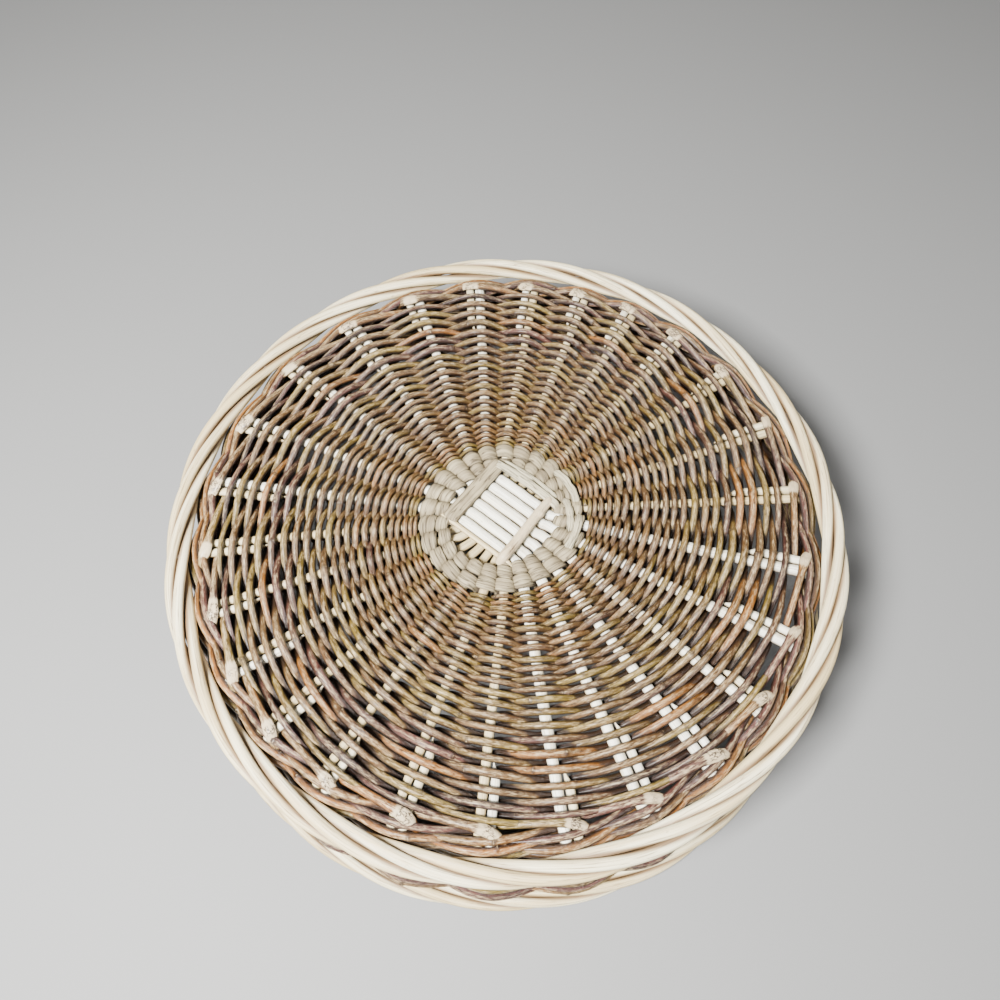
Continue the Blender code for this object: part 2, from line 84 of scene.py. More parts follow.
def addStudio():
    for name, place, size, power, colour in studio["lamps"]:
        lamp = bpy.data.lights.new(name, "AREA")
        lamp.size = size
        lamp.energy = power
        lamp.color = colour
        thing = addObject(name, lamp)
        thing.location = place
        aim = Vector(studio["aim"]) - Vector(place)
        thing.rotation_euler = aim.to_track_quat("-Z", "Y").to_euler()
    world = bpy.data.worlds.new("studioSky")
    world.use_nodes = True
    sky = world.node_tree.nodes["Background"]
    sky.inputs["Color"].default_value = (*studio["sky"], 1)
    sky.inputs["Strength"].default_value = studio["skyPower"]
    bpy.context.scene.world = world


addCamera()
addStudio()
print("camera and light set")


class Wire:
    # one socket; arithmetic on it adds Math nodes
    def __init__(self, maker, socket):
        self.maker = maker
        self.socket = socket

    def sum(self, operation, first, second=None):
        values = {0: first} if second is None else {0: first, 1: second}
        return self.maker.node("Math", {"operation": operation}, values)

    def __add__(self, other):
        return self.sum("ADD", self, other)

    __radd__ = __add__

    def __sub__(self, other):
        return self.sum("SUBTRACT", self, other)

    def __rsub__(self, other):
        return self.sum("SUBTRACT", other, self)

    def __mul__(self, other):
        return self.sum("MULTIPLY", self, other)

    __rmul__ = __mul__

    def size(self):
        return self.sum("ABSOLUTE", self)

    def clear(self, low, high):
        # 0 below low, 1 above high, smooth between
        return self.maker.node("MapRange", {"interpolation_type": "SMOOTHSTEP"},
                               {"Value": self, "From Min": low, "From Max": high})

    def line(self, low, high, level=0.5):
        # 1 in a thin line where the value passes the level, 0 away from it
        return 1.0 - (self - level).size().clear(low, high)


class Finish:
    # one material and its nodes
    def __init__(self, name, roughness):
        self.material = bpy.data.materials.new(name)
        self.material.use_nodes = True
        self.tree = self.material.node_tree
        self.shader = self.tree.nodes["Principled BSDF"]
        self.shader.inputs["Roughness"].default_value = roughness

    def node(self, kind, settings=None, values=None, out=0):
        made = self.tree.nodes.new("ShaderNode" + kind)
        for key, value in (settings or {}).items():
            if key == "stops":
                ramp = made.color_ramp
                while len(ramp.elements) < len(value):
                    ramp.elements.new(1)
                for element, (place, colour) in zip(ramp.elements, value):
                    element.position = place
                    element.color = (*colour, 1)
            else:
                setattr(made, key, value)
        for key, value in (values or {}).items():
            self.put(made.inputs[key], value)
        return Wire(self, made.outputs[out])

    def put(self, socket, value):
        if isinstance(value, Wire):
            self.tree.links.new(value.socket, socket)
        elif socket.type == "RGBA" and len(value) == 3:
            socket.default_value = (*value, 1)
        else:
            socket.default_value = value

    def feed(self, name, value):
        self.put(self.shader.inputs[name], value)

    def mix(self, factor, first, second):
        return self.node("Mix", {"data_type": "RGBA"}, {0: factor, 6: first, 7: second}, out=2)

    def layers(self, colour, palette, *layers):
        # lays named colours over each other, each through its own mask
        for mask, name in layers:
            colour = self.mix(mask, colour, palette[name])
        return colour

    def rodPlace(self, stretch):
        # noise coordinates that run along a rod and round it, different on every rod
        place, tone = self.attribute("rodPlace", 1), self.attribute("tone")
        spread = self.node("VectorMath", {"operation": "MULTIPLY"}, {0: place, 1: stretch})
        shift = self.node("CombineXYZ", None, {0: tone * 61.0, 1: tone * 17.0, 2: tone * 29.0})
        return self.node("VectorMath", {"operation": "ADD"}, {0: spread, 1: shift})

    def noise(self, vector, scale, detail, roughness=0.5):
        return self.node("TexNoise", None, {"Vector": vector, "Scale": scale, "Detail": detail,
                                            "Roughness": roughness})

    def rodNoise(self, stretch, detail, roughness=0.5):
        return self.noise(self.rodPlace(stretch), 1.0, detail, roughness)

    def attribute(self, name, out=2):
        return self.node("Attribute", {"attribute_name": name}, out=out)

    def bump(self, height, strength, distance):
        self.feed("Normal", self.node("Bump", None, {"Height": height, "Strength": strength,
                                                     "Distance": distance}))


barkLook = {
    # the rods' hues by their tone
    "stops": [(0.0, (0.022, 0.007, 0.005)), (0.14, (0.105, 0.036, 0.028)),
              (0.28, (0.05, 0.017, 0.012)), (0.42, (0.13, 0.068, 0.02)),
              (0.56, (0.07, 0.032, 0.009)), (0.7, (0.165, 0.112, 0.015)),
              (0.84, (0.126, 0.068, 0.02)), (1.0, (0.23, 0.084, 0.01))],
    "wander": 0.45, "scuffAndHighlight": (0.595, 0.46, 0.262), "dark": (0.014, 0.0055, 0.0022),
    "bare": (0.45, 0.365, 0.235), "crack": (0.022, 0.009, 0.004),
    "worn": (0.455, 0.565), "wornMix": 0.6, "crackLevel": 0.48, "crackWidth": (0.012, 0.055),
    "roughness": 0.24, "relief": 0.0011,
    "gloss": {"Specular IOR Level": 0.4, "Coat Weight": 0.14, "Coat Roughness": 0.25},
}


def barkWillow():
    look = Finish("barkWillow", 0.4)
    tone, shade = look.attribute("tone"), look.attribute("shade")
    slow = look.rodNoise((24.0, 0.25, 0.25), 2.0)
    streak = look.rodNoise((40.0, 2.4, 2.4), 4.0, 0.6)
    fine = look.rodNoise((210.0, 9.0, 9.0), 3.0, 0.7)
    mottle = look.rodNoise((300.0, 2.2, 2.2), 3.0, 0.6)
    specks = look.node("TexVoronoi", {"feature": "F1"},
                       {"Vector": look.rodPlace((520.0, 3.0, 3.0)), "Scale": 1.0})
    hue = look.node("ValToRGB", {"stops": barkLook["stops"]},
                    {0: tone + (slow - 0.5) * barkLook["wander"]})
    colour = look.mix(streak.clear(0.34, 0.64), look.mix(0.6, hue, barkLook["dark"]), hue)
    # the side that faces out is paler in specks, partly scuffed wear and partly a painted
    # highlight; the flanks are darkened as painted shade
    worn = (fine * 0.7 + mottle * 0.3 - shade * 0.5).clear(*barkLook["worn"])
    knot = look.attribute("knot")
    colour = look.layers(
        colour, barkLook,
        ((1.0 - mottle.clear(0.34, 0.46)) * 0.65, "dark"),
        ((1.0 - specks.clear(0.05, 0.14)) * 0.6, "dark"),
        # scuffed specks plus a painted highlight, paler where the surface faces out
        (worn * barkLook["wornMix"], "scuffAndHighlight"),
        # painted shade: the flanks and the side that faces the core are darkened
        (shade.clear(0.08, 0.46) * 0.92, "dark"),
        (knot.clear(0.25, 0.7) * 0.7, "dark"),
        (knot.clear(0.86, 1.0) * 0.6, "scuffAndHighlight"))
    # where the bark is off: pale wood, cracked across on the bends
    bare = look.attribute("bare")
    crack = look.rodNoise((260.0, 1.3, 1.3), 3.0, 0.65)
    pale = look.mix(fine.clear(0.42, 0.62) * 0.6, barkLook["bare"], barkLook["scuffAndHighlight"])
    cracked = crack.line(*barkLook["crackWidth"], barkLook["crackLevel"]) * bare.clear(0.75, 0.95)
    pale = look.mix(cracked, pale, barkLook["crack"])
    # painted shade: the bare wood is darkened with the crack colour where it faces the core
    pale = look.mix(shade.clear(0.16, 0.6) * 0.75, pale, barkLook["crack"])
    edge = (bare + (streak - 0.5) * 0.7).clear(0.35, 0.6)
    look.feed("Base Color", look.mix(edge, colour, pale))
    look.feed("Roughness", barkLook["roughness"] + fine * 0.36 + bare * 0.24)
    look.bump(streak * 0.5 + fine * 0.6 + mottle * 0.3 + specks * 0.3 + crack * bare * 0.9,
              0.9, barkLook["relief"])
    for name, value in barkLook["gloss"].items():
        look.shader.inputs[name].default_value = value
    return look.material


peeledLook = {
    "white": (0.77, 0.76, 0.66), "light": (0.73, 0.675, 0.47), "warm": (0.45, 0.335, 0.145),
    "grey": (0.34, 0.27, 0.17), "mark": (0.13, 0.07, 0.03), "tan": (0.38, 0.25, 0.115),
    "splitWidth": (0.002, 0.013), "roughness": 0.38, "relief": 0.0006,
}


def peeledWillow():
    look = Finish("peeledWillow", 0.5)
    slow = look.rodNoise((11.0, 0.5, 0.5), 2.0)
    streak = look.rodNoise((16.0, 3.0, 3.0), 4.0, 0.6)
    fibre = look.rodNoise((34.0, 15.0, 15.0), 3.0, 0.65)
    split = look.rodNoise((9.0, 4.0, 4.0), 2.0)
    marks = look.rodNoise((140.0, 1.6, 1.6), 2.0)
    tone, bare = look.attribute("tone"), look.attribute("bare")
    knot, shade = look.attribute("knot"), look.attribute("shade")
    look.feed("Base Color", look.layers(
        peeledLook["white"], peeledLook,
        (tone.clear(0.0, 0.45), "light"),
        (bare, "tan"),
        ((slow + tone * 0.4).clear(0.46, 0.92) * 0.8, "warm"),
        (streak.clear(0.5, 0.72) * 0.55, "warm"),
        (fibre.clear(0.52, 0.7) * 0.35, "grey"),
        # fine splits along the rod, specks and bud scars; last, painted shade in the hollows
        # between rods, laid in the same dark mark colour
        (split.line(*peeledLook["splitWidth"]) * 0.85, "mark"),
        (marks.clear(0.68, 0.78) * 0.6, "mark"),
        (knot.clear(0.2, 0.9) * 0.6, "mark"),
        (shade.clear(0.22, 0.62) * 0.9, "mark")))
    look.feed("Roughness", peeledLook["roughness"] + streak * 0.26)
    groove = (split - 0.5).size().clear(0.0, 0.015)
    look.bump(fibre * 0.5 + streak * 0.6 + groove * 0.6 + marks * 0.3, 0.55, peeledLook["relief"])
    return look.material


rushLook = {
    "light": (0.285, 0.238, 0.14), "dim": (0.115, 0.085, 0.046), "creaseAndShade": (0.022, 0.012, 0.006),
    "foldWidth": (0.004, 0.022), "roughness": 0.55, "relief": 0.001,
}


def dryRush():
    look = Finish("dryRush", 0.7)
    slow = look.rodNoise((70.0, 0.8, 0.8), 2.0)
    fibre = look.rodNoise((26.0, 4.2, 4.2), 4.0, 0.65)
    fold = look.rodNoise((34.0, 2.2, 2.2), 2.0)
    tone = look.attribute("tone")
    colour = look.mix(slow.clear(0.3, 0.62) * 0.6, rushLook["light"], rushLook["dim"])
    colour = look.mix(tone.clear(0.92, 1.0) * 0.6, colour, peeledLook["light"])
    look.feed("Base Color", look.layers(
        colour, rushLook,
        (fibre.clear(0.48, 0.66) * 0.6, "dim"),
        (fold.line(*rushLook["foldWidth"]) * 0.75, "creaseAndShade"),
        # painted shade: darker where the strand faces the core of the weave, between the stitches
        (look.attribute("shade").clear(0.1, 0.46) * 0.9, "creaseAndShade")))
    look.feed("Roughness", rushLook["roughness"] + fibre * 0.3)
    groove = (fold - 0.5).size().clear(0.0, 0.03)
    look.bump(fibre * 0.8 + groove * 0.6, 0.8, rushLook["relief"])
    return look.material


ground = {
    "colour": (0.175, 0.178, 0.178), "cloud": (0.155, 0.158, 0.16), "cloudMix": 0.06,
    "half": 9.0, "steps": 24, "height": -0.0004,
}


def paleFloor():
    look = Finish("paleFloor", 0.7)
    place = look.node("TexCoord", None, None, out=3)
    grain = look.noise(place, 3.0, 3.0)
    clouds = grain.clear(0.3, 0.7) * ground["cloudMix"]
    look.feed("Base Color", look.mix(clouds, ground["colour"], ground["cloud"]))
    return look.material


bark, peeled, rush = barkWillow(), peeledWillow(), dryRush()
print("finishes made")


def addFloor():
    half, steps = ground["half"], ground["steps"]
    places = [(step / steps - 0.5) * 2 * half for step in range(steps + 1)]
    verts = [(across, along, ground["height"]) for along in places for across in places]
    corners = [row * (steps + 1) + column for row in range(steps) for column in range(steps)]
    faces = [(low, low + 1, low + steps + 2, low + steps + 1) for low in corners]
    mesh = bpy.data.meshes.new("paleFloor")
    mesh.from_pydata(verts, [], faces)
    mesh.materials.append(paleFloor())
    floor = addObject("paleFloor", mesh)


addFloor()


# scars where leaves grew
scar = {
    "first": (0.01, 0.05), "every": (0.026, 0.06), "last": 0.006, "turn": 137, "unsure": 0.3,
    "size": 0.0016, "swell": 0.07, "bud": 0.24,
    "points": (-0.0024, -0.0011, 0.0, 0.0012, 0.0026),  # added to the path at each
}


class Rods:
    # tubes swept along a path, many to one mesh
    def __init__(self):
        self.verts, self.faces, self.place, self.count = [], [], [], 0
        self.marks = {"tone": [], "bare": [], "knot": [], "shade": []}

    def add(self, path, across, wide, thick=None, sides=8, tone=0.5, bare=0.0, start=0.0,
            capped=True, knots=None, pleats=None, core=None):
        # across: the direction of a flat rod's width at each point; wide, thick: half sizes there;
        # core: the middle of the rope or weave that the rod is laid in
        path = np.asarray(path, float)
        number = len(path)
        across = np.broadcast_to(across, (number, 3))
        wide, thick, bare = (np.broadcast_to(value, (number,)) for value in (
            wide, wide if thick is None else thick, bare))
        along = lengths(path)
        spots = [] if knots is None else knotSpots(along[-1], knots)
        if spots:
            extra = [place + shift for place, _ in spots for shift in scar["points"]]
            goal = np.unique(np.concatenate((along, np.clip(extra, 0, along[-1]))))
            goal = goal[np.concatenate(([True], np.diff(goal) > 0.0003))]
            path, across = resample(goal, along, path), resample(goal, along, across)
            core = None if core is None else resample(goal, along, core)
            wide, thick, bare = (np.interp(goal, along, value) for value in (wide, thick, bare))
            along, number = goal, len(goal)
        ahead = np.gradient(path, axis=0)
        ahead /= norm(ahead, axis=1)[:, None] + 1e-12
        aside = across - ahead * np.sum(across * ahead, axis=1)[:, None]
        aside /= norm(aside, axis=1)[:, None] + 1e-12
        up = np.cross(aside, ahead)
        turn = np.arange(sides) * 2 * pi / sides
        swell, knot = np.ones((number, sides)), np.zeros((number, sides))
        for place, side in spots:
            near = np.exp(-((along - place) / scar["size"]) ** 2)[:, None]
            facing = (0.5 + 0.5 * np.cos(turn - side))[None, :]
            swell += near * (scar["swell"] + scar["bud"] * facing ** 3)
            knot += near * facing ** 2
        if pleats is not None:
            swell *= pleats(along[:, None] + start, turn[None, :])
        cosine, sine = np.cos(turn)[None, :], np.sin(turn)[None, :]
        ring = (path[:, None, :]
                + aside[:, None, :] * (cosine * (wide[:, None] * swell))[:, :, None]
                + up[:, None, :] * (sine * (thick[:, None] * swell))[:, :, None])
        # shade: 0 where the surface faces out of the rope or weave, 1 where it faces its core
        outer = up if core is None else (path - core) / norm(path - core, axis=1)[:, None]
        facing = (aside[:, None, :] * (cosine * thick[:, None])[:, :, None]
                  + up[:, None, :] * (sine * wide[:, None])[:, :, None])
        facing /= norm(facing, axis=2)[:, :, None] + 1e-12
        shade = 0.5 - 0.5 * np.sum(facing * outer[:, None, :], axis=2)
        spot = np.stack(np.broadcast_arrays(along[:, None] + start, cosine, sine), axis=2)
        for low in range(self.count, self.count + (number - 1) * sides, sides):
            high = low + sides
            for side in range(sides):
                other = (side + 1) % sides
                self.faces.append((low + side, low + other, high + other, high + side))
        self.store(ring, spot, tone=tone, bare=np.repeat(bare, sides), knot=knot, shade=shade)
        for end in (0, -1) if capped else ():
            self.cap(ring[end], path[end], spot[end], tone, shade[end], end == 0)

    def store(self, points, spot, **marks):
        points = points.reshape(-1, 3)
        self.verts.append(points)
        self.place.append(spot.reshape(-1, 3))
        for name, values in marks.items():
            values = np.asarray(values, float).reshape(-1)
            self.marks[name].append(np.broadcast_to(values, (len(points),)))
        self.count += len(points)

    def cap(self, ring, middle, spot, tone, shade, isStart):
        # closes an end with a fan round its middle point; the cut wood is bare
        sides, first = len(ring), self.count
        centre = spot.mean(axis=0) * np.array([1.0, 0.0, 0.0])
        self.store(np.vstack((ring, middle)), np.vstack((spot, centre)), tone=tone, bare=1, knot=0,
                   shade=np.append(shade, shade.mean()))
        for side in range(sides):
            other = (side + 1) % sides
            corners = (first + other, first + side, first + sides)
            self.faces.append(corners if isStart else corners[::-1])

    def finish(self, name, material, *nodes):
        mesh = bpy.data.meshes.new(name)
        mesh.from_pydata(np.vstack(self.verts).tolist(), [], self.faces)
        mesh.polygons.foreach_set("use_smooth", [True] * len(self.faces))
        place = mesh.attributes.new("rodPlace", "FLOAT_VECTOR", "POINT")
        place.data.foreach_set("vector", np.vstack(self.place).ravel())
        for label, values in self.marks.items():
            mark = mesh.attributes.new(label, "FLOAT", "POINT")
            mark.data.foreach_set("value", np.concatenate(values))
        mesh.materials.append(material)
        thing = addObject(name, mesh)
        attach(thing, "root")
        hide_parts(*nodes)


def lengths(path):
    return np.concatenate(([0.0], np.cumsum(norm(np.diff(path, axis=0), axis=1))))


def resample(goal, along, values):
    columns = [np.interp(goal, along, values[:, axis]) for axis in range(values.shape[1])]
    return np.stack(columns, axis=1)


def knotSpots(length, dice):
    # one scar every few centimetres, each a little further round the rod
    spots, place, side = [], dice.uniform(*scar["first"]), dice.uniform(0, 2 * pi)
    while place < length - scar["last"]:
        spots.append((place, side))
        place += dice.uniform(*scar["every"])
        side += radians(scar["turn"]) + dice.uniform(-scar["unsure"], scar["unsure"])
    return spots


def polar(radius, azimuth, height=0.0):
    return np.array((radius * cos(azimuth), radius * sin(azimuth), height))


def upward(height):
    return np.array((0.0, 0.0, height))


def smooth(share):
    share = min(1.0, max(0.0, share))
    return share * share * (3 - 2 * share)


def waves(dice, count, size):
    # a smooth wobble round the basket: a few sines of unlike length
    parts = [(dice.uniform(0.3, 1.0) * size / (1 + 0.35 * index), index + dice.uniform(0.6, 1.4),
              dice.uniform(0, 2 * pi)) for index in range(count)]
    return lambda turn: sum(much * sin(rate * turn + phase) for much, rate, phase in parts)


def shaky(dice, size):
    # a strand's own unevenness: a new small push at every post
    postCount = 997  # more than any strand passes
    pushes = [dice.uniform(-size, size) for _ in range(postCount)]

    def push(place):
        here, there = (pushes[(int(place) + step) % postCount] for step in (0, 1))
        return here + (there - here) * smooth(place % 1)

    return push


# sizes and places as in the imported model
sticks = {
    "height": 0.092, "over": 6, "under": 7, "overWidth": 0.0068, "underWidth": 0.0052,
    "overPitch": 0.0076, "underPitch": 0.0062, "reach": 0.026, "turn": 140.0,
    "firstSpoke": 1.6, "twist": 3.9, "leave": 0.0505, "end": 0.188,
    "overRise": 0.00115, "underDrop": 0.0052,
    "sway": ((2.2, 2, 31), (2.0, 3, 119)),  # unevenly fanned: degrees, waves a round, phase
    "past": (0.0, 0.005, 0.0125),  # how far the sticks' ends run on past the start of the bend
    # the over sticks bow under the tie's band and its thick stick: side of the middle, depth,
    # start of the fall and its length, start of the rise and its length
    "dips": ((1, 0.0036, 0.0186, 0.003, 0.03, 0.006),
             (-1, 0.0026, 0.0125, 0.0026, 0.022, 0.005)),
    "wobble": 0.00022, "uneven": 0.03, "underFull": 1.08,
    "overTones": (0, 0.2), "underTones": (0.7, 1.0),
}
stakes = {
    "width": 0.0054, "gap": 0.0009, "tip": 0.15, "stagger": 0.0075, "tipLength": 0.01,
    # the bend over the edge and the wall's foot, as radius and height
    "bendStart": 0.184, "bendCorner": (0.201, 0.092), "bendEnd": (0.199, 0.068),
    "foot": (0.214, 0.0134),
    "cut": 0.12, "cutAside": 0.42, "cutFlat": 0.55,
}
spokeCount = 2 * (sticks["over"] + sticks["under"])
spokeStep = 2 * pi / spokeCount


def spokeAzimuth(index):
    even = index * spokeStep
    azimuth = even + radians(sticks["firstSpoke"])
    for size, count, phase in sticks["sway"]:
        azimuth += radians(size) * cos(count * even - radians(phase))
    return azimuth


def spokeIsOver(index):
    # round the base: the ends of the under sticks, of the over sticks, and both again
    return index % (spokeCount // 2) >= sticks["under"]


def leavePoint(index, height=0.0):
    # where a spoke leaves the crossing
    turn = index * spokeStep + radians(sticks["firstSpoke"] + sticks["twist"])
    return polar(sticks["leave"], turn, height)


def spokeAt(index, radius):
    # the middle of a spoke where it crosses that radius
    leave, end = leavePoint(index), polar(sticks["end"], spokeAzimuth(index))
    share = (radius - sticks["leave"]) / (sticks["end"] - sticks["leave"])
    return leave + (end - leave) * share


def spokeSide(index):
    line = spokeAt(index, sticks["end"]) - spokeAt(index, sticks["leave"])
    line /= norm(line)
    return np.array((-line[1], line[0], 0.0))


def spokeHalf(index):
    return (sticks["overWidth"] if spokeIsOver(index) else sticks["underWidth"]) / 2


def stakeShift(index):
    return spokeHalf(index) + stakes["width"] / 2 + stakes["gap"]


def tipRadius(index):
    return stakes["tip"] + stakes["stagger"] * (index % spokeCount % 3 - 1)


def bendPoint(share):
    start = (stakes["bendStart"], sticks["height"])
    near, middle, far = (1 - share) ** 2, 2 * share * (1 - share), share ** 2
    return tuple(near * a + middle * b + far * c
                 for a, b, c in zip(start, stakes["bendCorner"], stakes["bendEnd"]))


def wallLine():
    # the stake's centre line from the start of the bend to the rim, as radius and height
    steps = 40
    points = [bendPoint(step / steps) for step in range(steps + 1)]
    last, foot = points[-1], stakes["foot"]
    points += [tuple(a + (b - a) * step / steps for a, b in zip(last, foot))
               for step in range(1, steps + 1)]
    points = np.array(points)
    length = np.concatenate(([0.0], np.cumsum(np.hypot(*np.diff(points, axis=0).T))))
    return points, length


wallPoints, wallLength = wallLine()


def wallSpot(distance):
    # radius and height at that distance from the start of the bend
    return tuple(np.interp(distance, wallLength, wallPoints[:, axis]) for axis in (0, 1))


def wallAt(distance):
    # the same, and the direction there
    step = 0.001
    run, fall = (ahead - behind for ahead, behind in
                 zip(wallSpot(distance + step), wallSpot(distance - step)))
    size = hypot(run, fall) or 1.0
    return *wallSpot(distance), run / size, fall / size


def wallFrame(azimuth, run, fall):
    # the directions out of the wall and down it
    outward = polar(1.0, azimuth)
    return outward * -fall + upward(run), outward * run + upward(fall)


# a post is its middle, the directions out of the weave and along the post, its half width along
# the row and its half thickness
def edgePost(index, distance):
    # the middle of a spoke's end and the stake beside it, over the bend
    radius, height, run, fall = wallAt(distance)
    half = (stakeShift(index) + stakes["width"] / 2 + spokeHalf(index)) / 2
    azimuth = spokeAzimuth(index) + (half - spokeHalf(index)) / radius
    return (polar(radius, azimuth, height), *wallFrame(azimuth, run, fall),
            half, stakes["width"] / 2)


def basePost(index, radius):
    # a spoke, and from the tip of its stake on the two together
    half = spokeHalf(index)
    beside = smooth((radius - tipRadius(index)) / stakes["tipLength"])
    shift = beside * (stakeShift(index) + stakes["width"] / 2 - half) / 2
    middle = spokeAt(index, radius) + spokeSide(index) * shift
    middle[2] = sticks["height"]
    outward = middle / norm(middle[:2])
    outward[2] = 0.0
    return middle, upward(1.0), outward, half + shift, half


def wallPost(index, distance):
    radius, height, run, fall = wallAt(distance)
    azimuth, half = spokeAzimuth(index) + stakeShift(index) / radius, stakes["width"] / 2
    return polar(radius, azimuth, height), *wallFrame(azimuth, run, fall), half, half


twining = {
    "drop": (0.13, 0.34),  # least and most of the way to the next post used to slip under one
    "round": 0.85,  # how far the line between two posts is pushed out from straight to round
    "coreDepth": 0.45, "coreAside": 0.6,
    "taper": (1.1, 0.2), "toneShift": 0.05,
    "shortest": 24,  # points; a shorter rest stays with the rod before it
}


def lane(place, drop):
    # how far out a strand lies: it drifts out over a post and slips back under the next
    place = (place + 1) % 2 - 1
    edge = 1 - drop
    if abs(place) <= edge:
        return place
    under = (place - edge if place > 0 else place + 2 - edge) / (2 * drop)
    return edge * (1 - 2 * smooth(under))


def twinePath(post, rowAt, widthAt, strand, slant, first, last, samples=12, plump=1.0, press=1.0,
              pinch=0.2):
    # returns the points and, for each, the posts' direction, width, lift and the weave's middle
    path, across, widths, lifts, core = [], [], [], [], []
    for step in range(int(first * samples), int(last * samples) + 1):
        place = step / samples
        index = int(np.floor(place))
        share = place - index
        row, width = rowAt(place), widthAt(place)
        here, there = post(index, row), post(index + 1, row)
        gap = norm(there[0] - here[0])
        least, most = twining["drop"]
        drop = min(most, max(least, (here[3] + there[3]) / 2 / gap))
        side = 1 if (index + strand) % 2 == 0 else -1
        turn = share if side > 0 else share - 1
        middle = here[0] + (there[0] - here[0]) * share
        spread = hypot(middle[0], middle[1])
        goal = hypot(*here[0][:2]) * (1 - share) + hypot(*there[0][:2]) * share
        middle[:2] *= 1 + (goal / spread - 1) * twining["round"]
        normal = here[1] * (1 - share) + there[1] * share
        along = here[2] * (1 - share) + there[2] * share
        thick = here[4] * (1 - share) + there[4] * share
        wave = cos(pi * share)
        width *= 1 - pinch * (0.5 - 0.5 * wave * side)
        high = (thick + width * 0.5) * press
        lift = high * (abs(wave) ** plump if wave > 0 else -abs(wave) ** plump) * side
        aside = along * slant(place) * lane(turn, drop)
        path.append(middle + normal * lift + aside)
        core.append(middle - normal * high * twining["coreDepth"] + aside * twining["coreAside"])
        across.append(along)
        widths.append(width)
        lifts.append(lift)
    return tuple(np.array(values) for values in (path, across, widths, lifts, core))


def layRods(rods, strand, dice, tones, reach, sides=8):
    # cuts a long strand into rods of real length, joined behind a post, tip to tip and butt to butt
    path, across, widths, lifts, core = strand
    along = lengths(path)
    start, thickFirst = 0, dice.random() < 0.5
    final, (thickest, thinner), shift = len(path) - 1, twining["taper"], twining["toneShift"]
    while start < final - 3:
        end = int(np.searchsorted(along, along[start] + dice.uniform(*reach)))
        while end < final and not (lifts[end] < 0
                                   and lifts[end] <= min(lifts[end - 1], lifts[end + 1])):
            end += 1
        if final - end < twining["shortest"]:
            end = final
        share = np.linspace(0, 1, end - start + 1)
        taper = thickest - thinner * (share if thickFirst else 1 - share)
        part = slice(start, end + 1)
        rods.add(path[part], across[part], widths[part] / 2 * taper, sides=sides,
                 tone=dice.choice(tones) + dice.uniform(-shift, shift), start=dice.uniform(0, 3),
                 knots=dice, core=core[part])
        start, thickFirst = end, not thickFirst


weave = {
    "baseRadius": 0.189,
    # radii of the rows, as shares of the base's radius
    "rows": [0.272, 0.291, 0.31, 0.33, 0.355, 0.383, 0.413, 0.446, 0.478, 0.512, 0.543, 0.575,
             0.606, 0.642, 0.68, 0.717, 0.757, 0.8, 0.845, 0.89, 0.932, 0.968],
    "split": 14.0, "last": 20.9,  # rounds of fine weave, and of both
    "fill": (0.85, 0.54), "wobble": 0.0004, "push": 0.00035, "rodLength": (0.55, 1.15),
    # the rush and the first rows are pulled out on the left front side: how far, the azimuth,
    # the radius from which it fades and the length of the fade
    "pull": (0.0044, 205.0, 0.05, 0.055),
    "innerTones": [0.36, 0.46, 0.52, 0.6, 0.66, 0.74, 0.8, 0.86],
    "outerTones": [0.02, 0.1, 0.14, 0.2, 0.3, 0.44, 0.5, 0.62, 0.72, 0.8, 0.97],
}


def pulled(place, radius):
    most, azimuth, fadeStart, fade = weave["pull"]
    facing = max(0.0, cos(spokeAzimuth(place % spokeCount) - radians(azimuth)))
    return most * facing ** 1.5 * (1 - smooth((radius - fadeStart) / fade))


def makeBaseWeave():
    dice = random.Random(4)
    rows = np.array(weave["rows"]) * weave["baseRadius"]
    turns = np.arange(len(rows))
    pitch = np.gradient(rows)
    fill = np.linspace(*weave["fill"], len(rows))
    for name, first, last, tones in (
            ("fine", 0.0, weave["split"], weave["innerTones"]),
            ("thick", weave["split"], weave["last"], weave["outerTones"])):
        rods = Rods()
        wobble = waves(dice, 7, weave["wobble"])
        for strand in (0, 1):
            push = shaky(dice, weave["push"])

            def rowAt(place):
                radius = np.interp(place / spokeCount, turns, rows)
                return radius + wobble(place * 0.6) + push(place) + pulled(place, radius)

            line = twinePath(
                basePost, rowAt, lambda place: np.interp(place / spokeCount, turns, pitch * fill),
                strand, lambda place: np.interp(place / spokeCount, turns, pitch) * 0.5,
                first * spokeCount, last * spokeCount)
            layRods(rods, line, dice, tones, weave["rodLength"])
        rods.finish(name + "BaseWeave", bark, "base_weave_" + name)


makeBaseWeave()
print("base weave laid")


def stickHalf(index, lengthwise, offset, rise):
    # the points of a stick from the crossing to the start of the wall
    start = polar(sticks["reach"], lengthwise) + polar(offset, lengthwise + pi / 2)
    start[2] = sticks["height"] + rise
    points = [start, leavePoint(index, sticks["height"])]
    for distance in sticks["past"]:
        radius, height = wallSpot(distance)
        points.append(polar(radius, spokeAzimuth(index), height))
    return points


def roundCorners(points, steps=8):
    # a smooth path through a bent line: each inner corner becomes a short curve
    points = [np.asarray(point, float) for point in points]
    path = [points[0]]
    for before, corner, after in zip(points, points[1:], points[2:]):
        back, ahead = norm(before - corner), norm(after - corner)
        reach = 0.42 * min(back, ahead)
        start = corner + (before - corner) / back * reach
        end = corner + (after - corner) / ahead * reach
        for share in np.arange(steps + 1) / steps:
            path.append(start * (1 - share) ** 2 + corner * 2 * share * (1 - share)
                        + end * share ** 2)
    path.append(points[-1])
    return np.array(path)


def ribbed(ribs, run, turn, wander):
    # ribs along a rod: how many round it, how deep, where the first is, how fast they wander
    return sum(deep * np.sin(many * turn + phase + wander * np.sin(run * rate))
               for many, deep, phase, rate in ribs)


def spacedOut(path, step):
    # the same path with points at even steps
    along = lengths(path)
    return resample(np.linspace(0, along[-1], max(4, int(along[-1] / step))), along, path)


